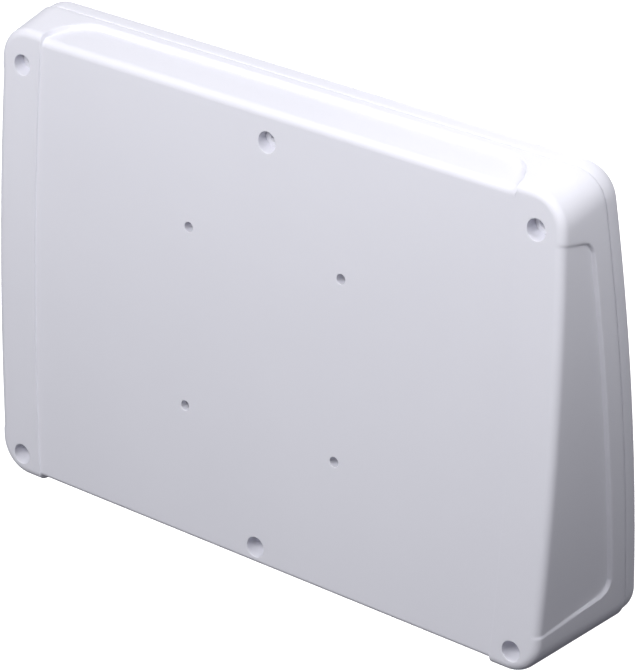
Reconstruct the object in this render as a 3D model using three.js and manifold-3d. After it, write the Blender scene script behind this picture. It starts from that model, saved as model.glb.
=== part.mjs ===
// Panel-mounted yagi antenna in a sloped two-shell plastic housing.
// Millimetres, +Z up. The back panel's outer face is the plane Y = 0, centred on
// the four threaded mounting inserts, and the antenna looks along -Y.
import * as THREE from 'three';
import { mergeVertices } from 'three/addons/utils/BufferGeometryUtils.js';
import Module from 'manifold-3d';

const wasm = await Module();
wasm.setup();

// Driving dimensions of the housing
const edgeFaceY = 0.6;            // the side strips stand this far behind the central panel
const backHalf = 138.8;           // half width at mid height, at the back face
const backTop = 97;
const backBottom = -95.4;
const backCorner = 14.5;
const backBow = 1500;             // radius that the sides are bowed to, at the back face
const backEdgeRadius = 3.6;
const wallDraft = 2.3;            // how much wider each side is at the joint
const jointTop = 100.7;
const jointBottom = -92.2;
const jointCorner = 13;
const jointBow = 1190;
const bowCentre = 2;              // height at which the sides are widest
const jointY = -38.5;             // the sloped joint plane crosses Z = 0 here
const jointSlope = 0.18;          // and comes back this much for each mm of height
const wall = 3.6;
const backWall = 3.4;
const coverDepth = 10.3;
const coverEdgeRadius = 6;
const coverCorner = 14;
const coverStep = 0.2;            // the cover is set in from the shell all round
const coverFrontWall = 3.2;
const gap = 0.3;                  // between pieces that touch
const grooveOuter = 1.2;          // the seal's groove lies between these insets
const grooveInner = 2.8;
const grooveDepth = 2.4;
const tongueDepth = 0.9;
const sealHeight = 0.9;

// Recesses in the shell's outer face
const panelHalf = 117.7;
const topPocket = { depth: 16.5, step: 2, corner: 17 };
const bottomPocket = { depth: 16.5, step: 1.5, corner: 17 };
const sidePocket = { top: 78.3, bottom: -77.8, behindJoint: 8.9, backStep: 0.5, frontStep: 1.8 };

// Fixings
const screwX = 124.6;
const upperScrewZ = 81.7;
const lowerScrewZ = -86.5;
const screwSeatBeforeJoint = 15.5;
const seatThickness = 2;
const counterboreRadius = 4.2;
const screwClearRadius = 2.3;
const screwHeadRadius = 3.7;
const screwHeadHeight = 3.4;
const screwShankRadius = 1.95;
const screwLength = 16;            // under the head
const screwSocketRadius = 1.75;    // across the corners of the hexagon
const screwSocketDepth = 2;
const postRadius = 6.6;
const coverBossRadius = 4.6;
const mountPitch = 75;
const mountHoleRadius = 2.15;
const mountBossRadius = 5;
const plateBossRadius = 4;
const platePilotRadius = 1.8;
const insertRadius = 3;
const insertLength = 6;
const insertSeat = 6;              // depth of the ledge that each insert pulls against

// Antenna, for a band near 5.5 GHz
const plateFront = -14.5;
const plateThickness = 1.5;
const plateHalf = new THREE.Vector2(105, 60);
const plateFixing = new THREE.Vector2(96, 50);
const boardThickness = 1;
const boardHalf = new THREE.Vector2(92, 18);
const bayPitch = 48;
const bayCount = 4;
const boomSide = 5;
const boomEnd = -42.4;
const drivenY = -25.4;
const drivenLength = 25.6;
const drivenWire = 0.8;
const directorRadius = 1;
const directors = [
  { name: 'inner_director', y: -32.6, length: 23 },
  { name: 'outer_director', y: -39.8, length: 22 },
];

// Bottom wall fittings
const port = new THREE.Vector3(62, -38, -94.4);
const vent = new THREE.Vector3(-62, -38, -94.4);
const padThickness = 6;
const padRadius = 13;
const portHoleRadius = 8.2;
const ventHoleRadius = 6.3;

const slopeAngle = Math.atan(jointSlope);
const drawDirection = new THREE.Vector3(0, -Math.cos(slopeAngle), Math.sin(slopeAngle));

// Materials
function finish(color, roughness, metalness) {
  return new THREE.MeshStandardMaterial({ color, roughness, metalness });
}
const housingPlastic = finish(0xe4e4ea, 0.5, 0);
const coverPlastic = finish(0xe8e8ee, 0.5, 0);
const sealRubber = finish(0x2b2b2d, 0.85, 0);
const stainless = finish(0xb9bcc0, 0.3, 1);
const brass = finish(0xc9a860, 0.35, 1);
const aluminium = finish(0xc4c7cb, 0.4, 1);
const boardLaminate = finish(0x2f6b4a, 0.6, 0);
const boomPlastic = finish(0xf1efe8, 0.55, 0);
const cableJacket = finish(0x8a5a3c, 0.5, 0);
const nickel = finish(0xc8c6be, 0.28, 1);
const ventPlastic = finish(0xd8d8dc, 0.55, 0);

// Solids from three.js geometry, and back
function toSolid(geometry) {
  const plain = geometry.clone();
  plain.deleteAttribute('normal');
  plain.deleteAttribute('uv');
  const merged = mergeVertices(plain, 1e-4);
  return new wasm.Manifold(new wasm.Mesh({
    numProp: 3,
    vertProperties: Float32Array.from(merged.attributes.position.array),
    triVerts: Uint32Array.from(merged.index.array),
  }));
}

function toGeometry(solid) {
  const mesh = solid.getMesh();
  const geometry = new THREE.BufferGeometry();
  geometry.setAttribute('position', new THREE.BufferAttribute(Float32Array.from(mesh.vertProperties), 3));
  geometry.setIndex(new THREE.BufferAttribute(Uint32Array.from(mesh.triVerts), 1));
  return geometry;
}

// Closed skin over rings of equal count. Each ring runs anticlockwise in X, Z and
// the rings follow each other towards -Y.
function skin(rings) {
  const count = rings[0].length;
  const positions = rings.flat().flatMap((point) => point.toArray());
  const index = [];
  for (let ring = 0; ring + 1 < rings.length; ring += 1) {
    for (let side = 0; side < count; side += 1) {
      const next = (side + 1) % count;
      const a = ring * count + side;
      const b = ring * count + next;
      index.push(a, b, a + count, b, b + count, a + count);
    }
  }
  const last = (rings.length - 1) * count;
  const flat = (ring) => ring.map((point) => new THREE.Vector2(point.x, point.z));
  for (const [a, b, c] of THREE.ShapeUtils.triangulateShape(flat(rings[0]), [])) {
    index.push(a, c, b);
  }
  for (const [a, b, c] of THREE.ShapeUtils.triangulateShape(flat(rings.at(-1)), [])) {
    index.push(last + a, last + b, last + c);
  }
  const geometry = new THREE.BufferGeometry();
  geometry.setAttribute('position', new THREE.Float32BufferAttribute(positions, 3));
  geometry.setIndex(index);
  return toSolid(geometry);
}

// Housing outline in X, Z: straight top and bottom, bowed sides, round corners.
// A bowed side stands at x = half - (z - bowCentre)^2 / (2 bow).
function outline({ half, top, bottom, corner, bow }) {
  const sideX = (z) => half - (z - bowCentre) ** 2 / (2 * bow);
  const cornerSteps = 6;
  const sideSteps = 5;
  const right = [];
  const lean = (z) => Math.atan((z - bowCentre) / bow);
  const addCorner = (centreZ, from, to) => {
    const tangent = lean(centreZ);
    const centreX = sideX(centreZ + corner * Math.sin(tangent)) - corner * Math.cos(tangent);
    for (let step = 0; step <= cornerSteps; step += 1) {
      const angle = THREE.MathUtils.lerp(from, to, step / cornerSteps);
      right.push(new THREE.Vector2(centreX + corner * Math.cos(angle), centreZ + corner * Math.sin(angle)));
    }
  };
  const lowCentre = bottom + corner;
  const highCentre = top - corner;
  const sideLow = lowCentre + corner * Math.sin(lean(lowCentre));
  const sideHigh = highCentre + corner * Math.sin(lean(highCentre));
  addCorner(lowCentre, -Math.PI / 2, lean(lowCentre));
  for (let step = 1; step < sideSteps; step += 1) {
    const z = THREE.MathUtils.lerp(sideLow, sideHigh, step / sideSteps);
    right.push(new THREE.Vector2(sideX(z), z));
  }
  addCorner(highCentre, lean(highCentre), Math.PI / 2);
  const left = right.map((point) => new THREE.Vector2(-point.x, point.y)).reverse();
  return [...right, ...left];
}

function jointPlaneY(z) {
  return jointY + jointSlope * z;
}

// One ring of the shell's wall: share 0 is the back face and 1 the joint plane.
// inset holds how far in from the outer wall the ring lies at the side, top and bottom.
function wallRing(share, inset, back = 0) {
  const mix = THREE.MathUtils.lerp;
  const shape = outline({
    half: mix(backHalf, backHalf + wallDraft, share) - inset.side,
    top: mix(backTop, jointTop, share) - inset.top,
    bottom: mix(backBottom, jointBottom, share) + inset.bottom,
    corner: Math.max(mix(backCorner, jointCorner, share) - (inset.side + inset.top) / 2, 2),
    bow: mix(backBow, jointBow, share),
  });
  return shape.map(({ x, y: z }) => {
    return new THREE.Vector3(x, mix(edgeFaceY - back, jointPlaneY(z), share), z);
  });
}

function evenInset(amount) {
  return { side: amount, top: amount, bottom: amount };
}

function addInset(inset, amount) {
  return { side: inset.side + amount, top: inset.top + amount, bottom: inset.bottom + amount };
}

// Body of the shell up to the joint plane, with its back edge rounded.
function shellBody(backInset, frontInset, back = 0) {
  const edgeSteps = 3;
  const rings = [];
  for (let step = 0; step <= edgeSteps; step += 1) {
    const angle = (step / edgeSteps) * (Math.PI / 2);
    const inwards = backEdgeRadius * (1 - Math.sin(angle));
    const forwards = backEdgeRadius * (1 - Math.cos(angle));
    rings.push(wallRing(0, addInset(backInset, inwards), back + forwards));
  }
  rings.push(wallRing(1, frontInset));
  return skin(rings);
}

// A ring on the joint plane's outline, set in by inset and moved out along the
// plane's normal by distance.
function jointRing(inset, distance, corner = jointCorner) {
  const shape = outline({
    half: backHalf + wallDraft - inset,
    top: jointTop - inset,
    bottom: jointBottom + inset,
    corner: Math.max(corner - inset, 2),
    bow: jointBow,
  });
  return shape.map(({ x, y: z }) => {
    return new THREE.Vector3(x, jointPlaneY(z), z).addScaledVector(drawDirection, distance);
  });
}

function jointBand(outerInset, innerInset, from, to) {
  const outer = skin([jointRing(outerInset, from), jointRing(outerInset, to)]);
  const inner = skin([jointRing(innerInset, from - 1), jointRing(innerInset, to + 1)]);
  return outer.subtract(inner);
}

// Round solids. A profile is a list of [radius, distance] pairs along the axis, and
// it is turned in the direction that leaves the faces pointing out.
function turned(profile, segments = 16) {
  const points = profile.map(([radius, along]) => new THREE.Vector2(radius, along));
  if (THREE.ShapeUtils.area(points) < 0) {
    points.reverse();
  }
  return new THREE.LatheGeometry(points, segments);
}

function rod(radius, from, to, segments = 16) {
  return turned([[0, from], [radius, from], [radius, to], [0, to]], segments);
}

// Turns a geometry made along +Y so that it points along a direction from a place.
function aim(geometry, place, direction) {
  const turn = new THREE.Quaternion().setFromUnitVectors(new THREE.Vector3(0, 1, 0), direction);
  const matrix = new THREE.Matrix4().compose(place, turn, new THREE.Vector3(1, 1, 1));
  return geometry.applyMatrix4(matrix);
}

const forward = new THREE.Vector3(0, -1, 0);
const downward = new THREE.Vector3(0, 0, -1);
const upward = new THREE.Vector3(0, 0, 1);
const backward = new THREE.Vector3(0, 1, 0);

function box(low, high) {
  const size = new THREE.Vector3(...high).sub(new THREE.Vector3(...low));
  const middle = new THREE.Vector3(...high).add(new THREE.Vector3(...low)).multiplyScalar(0.5);
  return new THREE.BoxGeometry(size.x, size.y, size.z).translate(middle.x, middle.y, middle.z);
}

function joined(solids) {
  return solids.reduce((sum, solid) => sum.add(solid));
}

const group = new THREE.Group();
function place(name, shape, material) {
  const geometry = shape.isBufferGeometry ? shape : toGeometry(shape);
  const mesh = new THREE.Mesh(geometry, material);
  mesh.name = name;
  group.add(mesh);
  return mesh;
}

// Where the six housing screws go, and how far along its axis each meets the joint plane
const screwPlaces = [
  ['top_left', -screwX, upperScrewZ],
  ['top_middle', 0, upperScrewZ],
  ['top_right', screwX, upperScrewZ],
  ['bottom_left', -screwX, lowerScrewZ],
  ['bottom_middle', 0, lowerScrewZ],
  ['bottom_right', screwX, lowerScrewZ],
].map(([name, x, z]) => {
  const start = new THREE.Vector3(x, edgeFaceY, z);
  const toJoint = Math.cos(slopeAngle) * (edgeFaceY - jointPlaneY(z));
  return { name, start, toJoint, seat: toJoint - screwSeatBeforeJoint };
});

const mountPlaces = [-1, 1].flatMap((sx) => {
  return [-1, 1].map((sz) => new THREE.Vector3((sx * mountPitch) / 2, 0, (sz * mountPitch) / 2));
});

const quarterNames = ['lower_left', 'upper_left', 'lower_right', 'upper_right'];
const platePlaces = [-1, 1].flatMap((sx) => {
  return [-1, 1].map((sz) => new THREE.Vector3(sx * plateFixing.x, 0, sz * plateFixing.y));
});

// Rear shell: drafted walls, stepped recesses, screw posts and bosses

function centralRecess() {
  const stepX = (z) => panelHalf - (z - bowCentre) ** 2 / (2 * backBow);
  const heights = [-110, -80, -50, -20, 10, 40, 70, 110];
  const panel = [
    ...heights.map((z) => new THREE.Vector2(stepX(z), z)),
    ...heights.map((z) => new THREE.Vector2(-stepX(z), z)).reverse(),
  ];
  const ring = (y) => panel.map(({ x, y: z }) => new THREE.Vector3(x, y, z));
  const core = shellBody(
    { side: 0, top: topPocket.step, bottom: bottomPocket.step },
    { side: 0, top: topPocket.step, bottom: bottomPocket.step },
    edgeFaceY,
  );
  const ledge = (pocket, edgeZ, farZ) => {
    const half = stepX(edgeZ);
    const shape = new THREE.Shape();
    shape.moveTo(-half, -5);
    shape.lineTo(half, -5);
    shape.lineTo(half, pocket.depth - pocket.corner);
    shape.absarc(half - pocket.corner, pocket.depth - pocket.corner, pocket.corner, 0, Math.PI / 2);
    shape.absarc(pocket.corner - half, pocket.depth - pocket.corner, pocket.corner, Math.PI / 2, Math.PI);
    const height = Math.abs(farZ - edgeZ) + 30;
    const slab = new THREE.ExtrudeGeometry(shape, { depth: height, bevelEnabled: false, curveSegments: 6 });
    slab.applyMatrix4(new THREE.Matrix4().makeScale(1, -1, 1));
    flip(slab);
    return toSolid(slab.translate(0, 0, Math.min(farZ, edgeZ) - (farZ < edgeZ ? 0 : 30)));
  };
  const cutter = joined([
    skin([ring(5), ring(0)]),
    ledge(topPocket, backTop, 110),
    ledge(bottomPocket, backBottom, -110),
  ]);
  return cutter.subtract(core);
}

// Turns a mirrored geometry's faces the right way out again.
function flip(geometry) {
  const source = geometry.index ? geometry.toNonIndexed() : geometry;
  const array = source.attributes.position.array;
  for (let start = 0; start < array.length; start += 9) {
    for (let axis = 0; axis < 3; axis += 1) {
      const kept = array[start + 3 + axis];
      array[start + 3 + axis] = array[start + 6 + axis];
      array[start + 6 + axis] = kept;
    }
  }
  return geometry;
}

function sideRecesses() {
  const backRun = 5;
  const frontAt = (z) => jointPlaneY(z) + sidePocket.behindJoint;
  const topSlope = -0.17;
  const bottomSlope = 0.12;
  const edgeZ = (z, slope, y) => z + slope * (edgeFaceY - y);
  const upperFront = edgeZ(sidePocket.top, topSlope, -17);
  const lowerFront = edgeZ(sidePocket.bottom, bottomSlope, -43);
  const shape = new THREE.Shape();
  // drawn in (-y, z), so that extruding runs along +X after the turn below
  shape.moveTo(-backRun, sidePocket.bottom);
  shape.lineTo(-frontAt(lowerFront) - 9, lowerFront - 1);
  shape.quadraticCurveTo(-frontAt(lowerFront), lowerFront, -frontAt(lowerFront + 9), lowerFront + 9);
  shape.lineTo(-frontAt(upperFront - 4), upperFront - 4);
  shape.quadraticCurveTo(-frontAt(upperFront), upperFront, -frontAt(upperFront) - 4, upperFront + 0.6);
  shape.lineTo(-backRun, sidePocket.top);
  const slab = new THREE.ExtrudeGeometry(shape, { depth: 40, bevelEnabled: false, curveSegments: 5 });
  // (u, v, w) = (-y, z, x)
  const turn = new THREE.Matrix4().set(0, 0, 1, 0, -1, 0, 0, 0, 0, 1, 0, 0, 0, 0, 0, 1);
  slab.applyMatrix4(turn);
  flip(slab);
  const right = toSolid(slab.translate(115, 0, 0));
  const left = right.mirror([1, 0, 0]);
  const core = shellBody(
    { side: sidePocket.backStep, top: -5, bottom: -5 },
    { side: sidePocket.frontStep, top: -5, bottom: -5 },
  );
  return joined([right, left]).subtract(core);
}

function rearShell() {
  const outer = shellBody(evenInset(0), evenInset(0));
  const floor = wallRing(0.1, evenInset(wall)).map(({ x, z }) => new THREE.Vector3(x, -backWall, z));
  const mouth = jointRing(wall, 2);
  const hollow = skin([floor, jointRing(wall, 0), mouth]);
  const envelope = outer.subtract(centralRecess()).subtract(sideRecesses());
  const posts = screwPlaces.map(({ start, seat }) => {
    return toSolid(aim(rod(postRadius, 3, seat + seatThickness, 16), start.clone(), drawDirection));
  });
  const bossEnd = -plateFront - plateThickness - gap;
  const bosses = [
    ...mountPlaces.map((at) => toSolid(aim(rod(mountBossRadius, 2, bossEnd, 14), at.clone(), forward))),
    ...platePlaces.map((at) => toSolid(aim(rod(plateBossRadius, 2, bossEnd, 12), at.clone(), forward))),
  ];
  const pads = [port, vent].map((at) => {
    return toSolid(aim(rod(padRadius, -padThickness, 0, 20), at.clone(), downward));
  });
  const solid = envelope.subtract(hollow)
    .add(joined([...posts, ...bosses]).intersect(envelope))
    .add(joined(pads));
  const cuts = [
    jointBand(grooveOuter, grooveInner, -grooveDepth, 1),
    ...screwPlaces.flatMap(({ start, seat }) => [
      toSolid(aim(rod(counterboreRadius, -3, seat, 18), start.clone(), drawDirection)),
      toSolid(aim(rod(screwClearRadius, seat - 1, seat + 4, 10), start.clone(), drawDirection)),
    ]),
    ...mountPlaces.flatMap((at) => [
      toSolid(aim(rod(mountHoleRadius, -2, 8, 14), at.clone(), forward)),
      toSolid(aim(rod(insertRadius + gap, insertSeat, 20, 14), at.clone(), forward)),
    ]),
    ...platePlaces.map((at) => toSolid(aim(rod(platePilotRadius, 6, 20, 10), at.clone(), forward))),
    toSolid(aim(rod(portHoleRadius, -20, 5, 20), port.clone(), downward)),
    toSolid(aim(rod(ventHoleRadius, -20, 5, 18), vent.clone(), downward)),
  ];
  return solid.subtract(joined(cuts));
}
place('rear_shell', rearShell(), housingPlastic);

// Front cover: a shallow tray with a round front edge, a tongue and six bosses
function frontCover() {
  const edgeSteps = 4;
  const rings = [jointRing(coverStep, gap, coverCorner)];
  for (let step = 0; step <= edgeSteps; step += 1) {
    const angle = (step / edgeSteps) * (Math.PI / 2);
    const inwards = coverStep + coverEdgeRadius * (1 - Math.cos(angle));
    const along = coverDepth - coverEdgeRadius * (1 - Math.sin(angle));
    rings.push(jointRing(inwards, along, coverCorner));
  }
  const outer = skin(rings);
  const innerDepth = coverDepth - coverFrontWall;
  const hollow = skin([
    jointRing(wall, -1, coverCorner),
    jointRing(wall + 0.4, innerDepth - 2, coverCorner),
    jointRing(wall + 2.4, innerDepth, coverCorner),
  ]);
  const tongue = jointBand(grooveOuter + gap, grooveInner - gap, -tongueDepth, 1.2);
  const bosses = screwPlaces.map(({ start, toJoint, seat }) => {
    const boss = rod(coverBossRadius, seat + seatThickness + gap, toJoint + innerDepth + 0.8, 16);
    return toSolid(aim(boss, start.clone(), drawDirection));
  });
  const pilots = screwPlaces.map(({ start, toJoint }) => {
    const pilot = rod(screwClearRadius, 0, toJoint + innerDepth - 1, 10);
    return toSolid(aim(pilot, start.clone(), drawDirection));
  });
  return outer.subtract(hollow).add(tongue).add(joined(bosses)).subtract(joined(pilots));
}
place('front_cover', frontCover(), coverPlastic);

// Seal: a rubber cord lying in the shell's groove, pressed by the cover's tongue
const sealFloor = gap - grooveDepth;
const seal = jointBand(grooveOuter + gap, grooveInner - gap, sealFloor, sealFloor + sealHeight);
place('housing_seal', seal, sealRubber);

// Housing screws: cylinder head with a hexagon socket, seated in the counterbores
function housingScrew({ start, seat }) {
  const under = seat - gap;
  const top = under - screwHeadHeight;
  const tip = seat + screwLength;
  const body = toSolid(turned([
    [0, top], [screwHeadRadius - 0.2, top], [screwHeadRadius, top + 0.4], [screwHeadRadius, under],
    [screwShankRadius, under], [screwShankRadius, tip - 1.5], [screwShankRadius * 0.6, tip], [0, tip],
  ], 16));
  const socket = toSolid(rod(screwSocketRadius, top - 1, top + screwSocketDepth, 6));
  const screw = toGeometry(body.subtract(socket));
  return aim(screw, start.clone(), drawDirection);
}
for (const at of screwPlaces) {
  place(`housing_screw_${at.name}`, housingScrew(at), stainless);
}

// Mount inserts: threaded brass bushes set in the bosses from the inside
mountPlaces.forEach((at, index) => {
  const start = insertSeat + gap;
  const bush = turned([
    [2, start], [insertRadius, start], [insertRadius, start + 2.4], [2.6, start + 2.8],
    [2.6, start + 3.4], [insertRadius, start + 3.8], [insertRadius, start + insertLength],
    [2, start + insertLength], [2, start],
  ], 16);
  place(`mount_insert_${quarterNames[index]}`, aim(bush, at.clone(), forward), brass);
});

// Reflector plate, on four bosses, with a row of bays along its middle
const bayXs = Array.from({ length: bayCount }, (_, bay) => (bay - (bayCount - 1) / 2) * bayPitch);
function reflectorPlate() {
  const back = plateFront + plateThickness;
  const sheet = toSolid(box([-plateHalf.x, plateFront, -plateHalf.y], [plateHalf.x, back, plateHalf.y]));
  const holes = [
    ...platePlaces.map((at) => toSolid(aim(rod(platePilotRadius, 5, 20, 10), at.clone(), forward))),
    ...bayXs.map((x) => toSolid(aim(rod(platePilotRadius, 5, 20, 10), new THREE.Vector3(x, 0, 0), forward))),
  ];
  return sheet.subtract(joined(holes));
}
place('reflector_plate', reflectorPlate(), aluminium);

function machineScrew(headRadius, headHeight, shankRadius, length) {
  return turned([
    [0, -headHeight], [headRadius * 0.8, -headHeight], [headRadius, -headHeight * 0.6], [headRadius, 0],
    [shankRadius, 0], [shankRadius, length], [0, length],
  ], 12);
}
platePlaces.forEach((at, index) => {
  const seat = new THREE.Vector3(at.x, plateFront - gap, at.z);
  place(`plate_screw_${quarterNames[index]}`, aim(machineScrew(2.8, 2, 1.45, 8), seat, backward), stainless);
});

// Feed board: laminate lying on the reflector, with the power divider on its face
const boardBack = plateFront - gap;
const boardFront = boardBack - boardThickness;
function feedBoard() {
  const sheet = toSolid(box([-boardHalf.x, boardFront, -boardHalf.y], [boardHalf.x, boardBack, boardHalf.y]));
  const holes = bayXs.map((x) => {
    return toSolid(aim(rod(platePilotRadius, 5, 20, 10), new THREE.Vector3(x, 0, 0), forward));
  });
  return sheet.subtract(joined(holes));
}
place('feed_board', feedBoard(), boardLaminate);

// Each bay: a moulded boom, a folded dipole and two directors
function boom(x) {
  const footFront = boardFront - gap - 2.2;
  const foot = toSolid(box([x - 2.7, footFront, -7], [x + 2.7, boardFront - gap, 7]));
  const half = boomSide / 2;
  const mast = toSolid(box([x - half, boomEnd, -half], [x + half, footFront + 0.5, half]));
  const crossings = directors.map(({ y }) => {
    return toSolid(aim(rod(directorRadius + gap, -10, 10, 8), new THREE.Vector3(x, y, 0), upward));
  });
  const pilot = toSolid(aim(rod(1.6, 5, 24, 10), new THREE.Vector3(x, 0, 0), forward));
  return foot.add(mast).subtract(joined([...crossings, pilot]));
}

// The dipole is one bent wire: up from the board, round the loop and back down. The
// route holds a few points along each bend and only the ends of each straight run.
function foldedDipole(x) {
  const loopHalf = 4.3;
  const reach = drivenLength / 2 - loopHalf;
  const feedHalf = 1.6;
  const bend = 1.4;
  const bendSteps = 5;
  const route = [];
  const arc = (centre, radius, from, to, toPoint) => {
    for (let step = 0; step <= bendSteps; step += 1) {
      const angle = THREE.MathUtils.lerp(from, to, step / bendSteps);
      route.push(toPoint(centre, radius * Math.cos(angle), radius * Math.sin(angle)));
    }
  };
  const inYZ = (centre, u, v) => new THREE.Vector3(centre.x, centre.y + u, centre.z + v);
  const inXZ = (centre, u, v) => new THREE.Vector3(centre.x + u, centre.y, centre.z + v);
  const feedX = x + loopHalf;
  const quarter = Math.PI / 2;
  route.push(new THREE.Vector3(feedX, boardFront - gap, feedHalf));
  arc(new THREE.Vector3(feedX, drivenY + bend, feedHalf + bend), bend, 3 * quarter, 2 * quarter, inYZ);
  arc(new THREE.Vector3(x, drivenY, reach), loopHalf, 0, 2 * quarter, inXZ);
  arc(new THREE.Vector3(x, drivenY, -reach), loopHalf, 2 * quarter, 4 * quarter, inXZ);
  arc(new THREE.Vector3(feedX, drivenY + bend, -feedHalf - bend), bend, 2 * quarter, quarter, inYZ);
  route.push(new THREE.Vector3(feedX, boardFront - gap, -feedHalf));
  return wireAlong(route, drivenWire, 6);
}

// Round wire or cable through points, its section carried along without twisting.
function wireAlong(points, radius, sides) {
  const positions = [];
  const index = [];
  const tangents = points.map((point, step) => {
    const before = points[Math.max(step - 1, 0)];
    const after = points[Math.min(step + 1, points.length - 1)];
    return after.clone().sub(before).normalize();
  });
  let across = new THREE.Vector3(1, 0.01, 0.02).cross(tangents[0]).normalize();
  points.forEach((point, step) => {
    across = across.clone().addScaledVector(tangents[step], -across.dot(tangents[step])).normalize();
    const up = tangents[step].clone().cross(across);
    for (let side = 0; side < sides; side += 1) {
      const angle = (side / sides) * Math.PI * 2;
      const rim = point.clone()
        .addScaledVector(across, radius * Math.cos(angle))
        .addScaledVector(up, radius * Math.sin(angle));
      positions.push(...rim.toArray());
    }
  });
  for (let step = 0; step + 1 < points.length; step += 1) {
    for (let side = 0; side < sides; side += 1) {
      const a = step * sides + side;
      const b = step * sides + ((side + 1) % sides);
      index.push(a, b, a + sides, b, b + sides, a + sides);
    }
  }
  const last = (points.length - 1) * sides;
  for (let side = 1; side + 1 < sides; side += 1) {
    index.push(0, side + 1, side, last, last + side, last + side + 1);
  }
  const geometry = new THREE.BufferGeometry();
  geometry.setAttribute('position', new THREE.Float32BufferAttribute(positions, 3));
  geometry.setIndex(index);
  return geometry;
}

bayXs.forEach((x, bay) => {
  const number = bay + 1;
  place(`boom_${number}`, boom(x), boomPlastic);
  place(`driven_element_${number}`, foldedDipole(x), brass);
  for (const { name, y, length } of directors) {
    const bar = aim(rod(directorRadius, -length / 2, length / 2, 8), new THREE.Vector3(x, y, 0), upward);
    place(`${name}_${number}`, bar, aluminium);
  }
  const seat = new THREE.Vector3(x, plateFront + plateThickness + gap, 0);
  place(`boom_screw_${number}`, aim(machineScrew(2.6, 1.8, 1.25, 9), seat, forward), stainless);
});

// Antenna port: bulkhead socket through the bottom wall, with its seal and nut
const portTop = port.z + padThickness;
const portMouth = -padThickness - 16.6;
const socketShape = turned([
  [0, 12], [3.2, 12], [3.2, 6], [10, 6], [10, 2.2], [7.9, 2.2], [7.9, portMouth],
  [5.6, portMouth], [5.6, portMouth + 9], [1.6, portMouth + 9], [1.6, portMouth + 5.2], [0, portMouth + 5.2],
], 20);
place('port_socket', aim(socketShape, new THREE.Vector3(port.x, port.y, portTop), upward), nickel);
const sealRing = turned([[8.3, gap], [9.8, gap], [9.8, 1.9], [8.3, 1.9], [8.3, gap]], 16);
place('port_seal', aim(sealRing, new THREE.Vector3(port.x, port.y, portTop), upward), sealRubber);
const portNut = toSolid(rod(11.4, gap, 4, 6)).subtract(toSolid(rod(portHoleRadius, -1, 6, 20)));
place('port_nut', aim(toGeometry(portNut), port.clone(), downward), nickel);

// Feed cable: from the board's input pad to the back of the socket
const cablePoints = [
  [0, boardFront - 1.9, -13],
  [0, boardFront - 3.4, -18],
  [2, boardFront - 3.8, -30],
  [10, boardFront - 4, -45],
  [24, boardFront - 6, -57],
  [40, boardFront - 11, -63],
  [53, -32.5, -64],
  [60, -36.5, -67.5],
  [port.x, port.y, -72],
  [port.x, port.y, portTop + 12.4],
].map((at) => new THREE.Vector3(...at));
const cableRoute = new THREE.CatmullRomCurve3(cablePoints, false, 'centripetal');
place('feed_cable', wireAlong(cableRoute.getSpacedPoints(28), 1.4, 8), cableJacket);

// Breather: a vented plug through the bottom wall, with its seal and nut
const ventTop = vent.z + padThickness;
const ventShape = turned([
  [2, 8], [6, 8], [6, -padThickness - 1.9], [8.6, -padThickness - 1.9], [8.6, -padThickness - 5.4],
  [7.6, -padThickness - 6.4], [0, -padThickness - 6.4],
  [0, -padThickness - 3], [2, -padThickness - 3], [2, 8],
], 18);
place('vent_plug', aim(ventShape, new THREE.Vector3(vent.x, vent.y, ventTop), upward), ventPlastic);
const ventSeal = turned([[6.4, gap], [8.3, gap], [8.3, 1.6], [6.4, 1.6], [6.4, gap]], 16);
place('vent_seal', aim(ventSeal, vent.clone(), downward), sealRubber);
const ventNut = toSolid(rod(9.4, gap, 4.3, 6)).subtract(toSolid(rod(ventHoleRadius, -1, 6, 18)));
place('vent_nut', aim(toGeometry(ventNut), new THREE.Vector3(vent.x, vent.y, ventTop), upward), ventPlastic);

export default group;
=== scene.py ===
# Panel antenna: a sloped two-part plastic housing around a row of small yagi bays.
# Row frame in metres: the back panel is the plane Y = 0 and the antenna looks along -Y.
import math
import bmesh
import bpy
import numpy as np
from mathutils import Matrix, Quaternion, Vector


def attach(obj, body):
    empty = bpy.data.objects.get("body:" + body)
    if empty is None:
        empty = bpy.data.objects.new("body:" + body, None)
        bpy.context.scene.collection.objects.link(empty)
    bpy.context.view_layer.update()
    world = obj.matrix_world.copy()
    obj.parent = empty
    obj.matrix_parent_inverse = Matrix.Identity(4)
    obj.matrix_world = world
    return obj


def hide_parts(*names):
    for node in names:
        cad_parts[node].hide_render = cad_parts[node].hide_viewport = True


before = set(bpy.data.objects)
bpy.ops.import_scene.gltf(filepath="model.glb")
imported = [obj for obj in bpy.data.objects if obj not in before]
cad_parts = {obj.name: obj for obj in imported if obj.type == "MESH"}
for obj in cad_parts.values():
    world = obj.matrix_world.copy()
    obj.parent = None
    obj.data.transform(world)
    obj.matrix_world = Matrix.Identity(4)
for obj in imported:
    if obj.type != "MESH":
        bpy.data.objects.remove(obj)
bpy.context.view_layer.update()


# ---------------------------------------------------------------- Camera
# Long lens from behind and above, on the side where the housing narrows away,
# turned a little about its own axis.
camera_aim = Vector((-0.0158, -0.0148, 0.0039))
camera_azimuth = math.radians(218.565)
camera_elevation = math.radians(23.426)
camera_distance = 1.3976
camera_roll = math.radians(2.018)
camera = bpy.data.objects.new("camera", bpy.data.cameras.new("camera"))
bpy.context.collection.objects.link(camera)
bpy.context.scene.camera = camera
camera.data.lens = 197.29
backwards = Vector((
    math.sin(camera_azimuth) * math.cos(camera_elevation),
    -math.cos(camera_azimuth) * math.cos(camera_elevation),
    math.sin(camera_elevation),
))
camera.location = camera_aim + backwards * camera_distance
camera.rotation_mode = "QUATERNION"
camera.rotation_quaternion = (
    (-backwards).to_track_quat("-Z", "Y") @ Quaternion((0, 0, 1), camera_roll)
)
bpy.context.scene.view_settings.view_transform = "Standard"


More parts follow.
